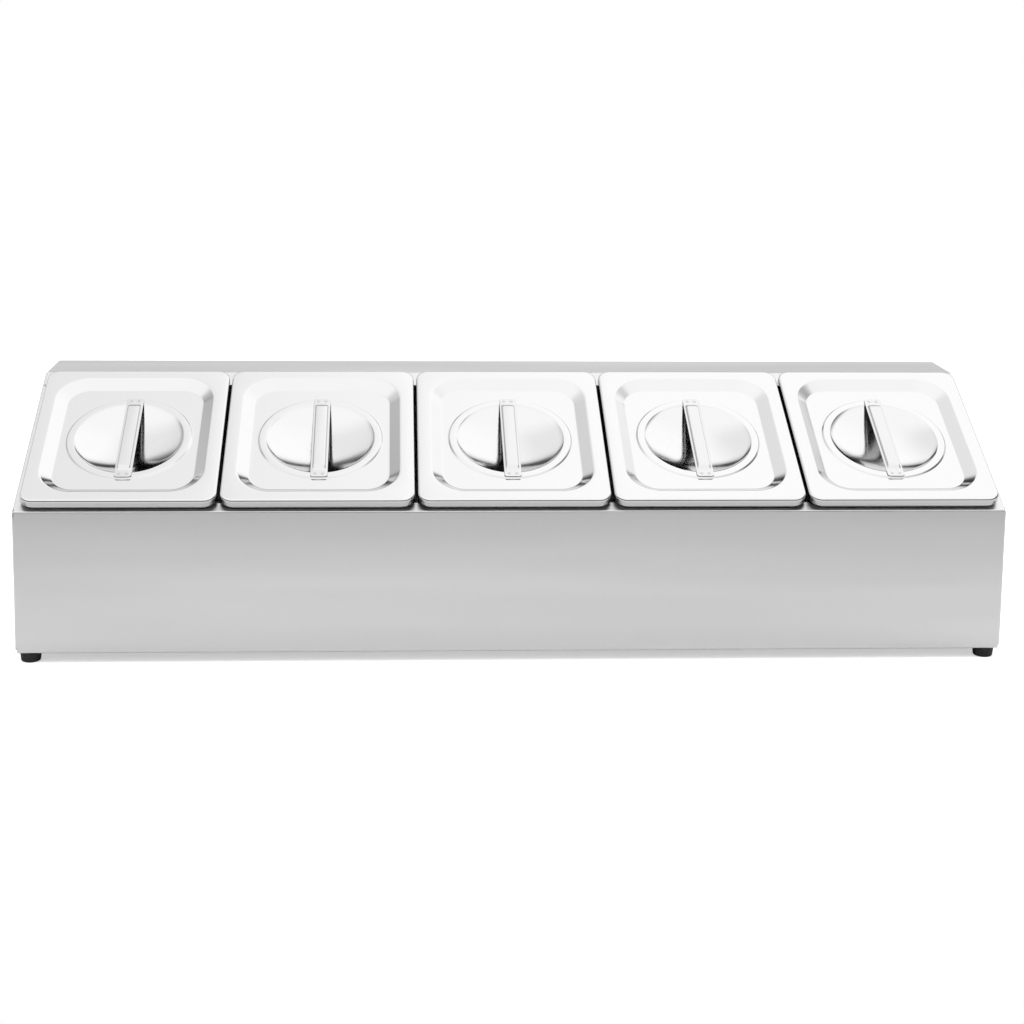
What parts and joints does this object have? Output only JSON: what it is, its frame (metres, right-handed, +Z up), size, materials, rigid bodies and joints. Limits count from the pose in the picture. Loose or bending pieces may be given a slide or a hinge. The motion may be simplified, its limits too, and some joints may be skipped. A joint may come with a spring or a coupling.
{
  "type": "gastronorm pan holder",
  "caption": "Counter-top stainless holder whose sloped top carries a row of lift-out gastronorm pans, each under a loose pressed lid with a finger dish and a bar handle.",
  "frame": {"origin": "on the counter, under the middle of the whole object's box", "axes": "+X along the row of pans, to the right as seen from the front; +Y towards the back; +Z up"},
  "size_m": [0.824, 0.232, 0.2187],
  "materials": {
    "holder_steel": "satin stainless sheet, brushed along its length",
    "pan_steel": "deep-drawn stainless sheet, soft satin",
    "lid_steel": "pressed stainless sheet, bright polished",
    "handle_steel": "pressed stainless strip, bright polished",
    "foot_rubber": "moulded black rubber, matt",
    "fastener_steel": "bright zinc-plated steel"
  },
  "bodies": {
    "holder": {"front_panel": "holder_steel", "back_panel": "holder_steel", "left_end_panel": "holder_steel", "right_end_panel": "holder_steel", "foot_front_left": "foot_rubber", "foot_front_right": "foot_rubber", "foot_rear_left": "foot_rubber", "foot_rear_right": "foot_rubber", "foot_screws": "fastener_steel", "foot_washers": "fastener_steel", "foot_nuts": "fastener_steel"},
    "pan_1": {"pan_1": "pan_steel"},
    "lid_1": {"lid_1": "lid_steel", "lid_handle_1": "handle_steel"},
    "pan_2": {"pan_2": "pan_steel"},
    "lid_2": {"lid_2": "lid_steel", "lid_handle_2": "handle_steel"},
    "pan_3": {"pan_3": "pan_steel"},
    "lid_3": {"lid_3": "lid_steel", "lid_handle_3": "handle_steel"},
    "pan_4": {"pan_4": "pan_steel"},
    "lid_4": {"lid_4": "lid_steel", "lid_handle_4": "handle_steel"},
    "pan_5": {"pan_5": "pan_steel"},
    "lid_5": {"lid_5": "lid_steel", "lid_handle_5": "handle_steel"}
  },
  "joints": [
    {"name": "pan_1_lift", "type": "slide", "parent": "holder", "child": "pan_1", "axis": [0, -0.4586, 0.8886], "range_m": [0, 0.125]},
    {"name": "lid_1_lift", "type": "slide", "parent": "pan_1", "child": "lid_1", "axis": [0, -0.4586, 0.8886], "range_m": [0, 0.08]},
    {"name": "pan_2_lift", "type": "slide", "parent": "holder", "child": "pan_2", "axis": [0, -0.4586, 0.8886], "range_m": [0, 0.125]},
    {"name": "lid_2_lift", "type": "slide", "parent": "pan_2", "child": "lid_2", "axis": [0, -0.4586, 0.8886], "range_m": [0, 0.08]},
    {"name": "pan_3_lift", "type": "slide", "parent": "holder", "child": "pan_3", "axis": [0, -0.4586, 0.8886], "range_m": [0, 0.125]},
    {"name": "lid_3_lift", "type": "slide", "parent": "pan_3", "child": "lid_3", "axis": [0, -0.4586, 0.8886], "range_m": [0, 0.08]},
    {"name": "pan_4_lift", "type": "slide", "parent": "holder", "child": "pan_4", "axis": [0, -0.4586, 0.8886], "range_m": [0, 0.125]},
    {"name": "lid_4_lift", "type": "slide", "parent": "pan_4", "child": "lid_4", "axis": [0, -0.4586, 0.8886], "range_m": [0, 0.08]},
    {"name": "pan_5_lift", "type": "slide", "parent": "holder", "child": "pan_5", "axis": [0, -0.4586, 0.8886], "range_m": [0, 0.125]},
    {"name": "lid_5_lift", "type": "slide", "parent": "pan_5", "child": "lid_5", "axis": [0, -0.4586, 0.8886], "range_m": [0, 0.08]}
  ]
}
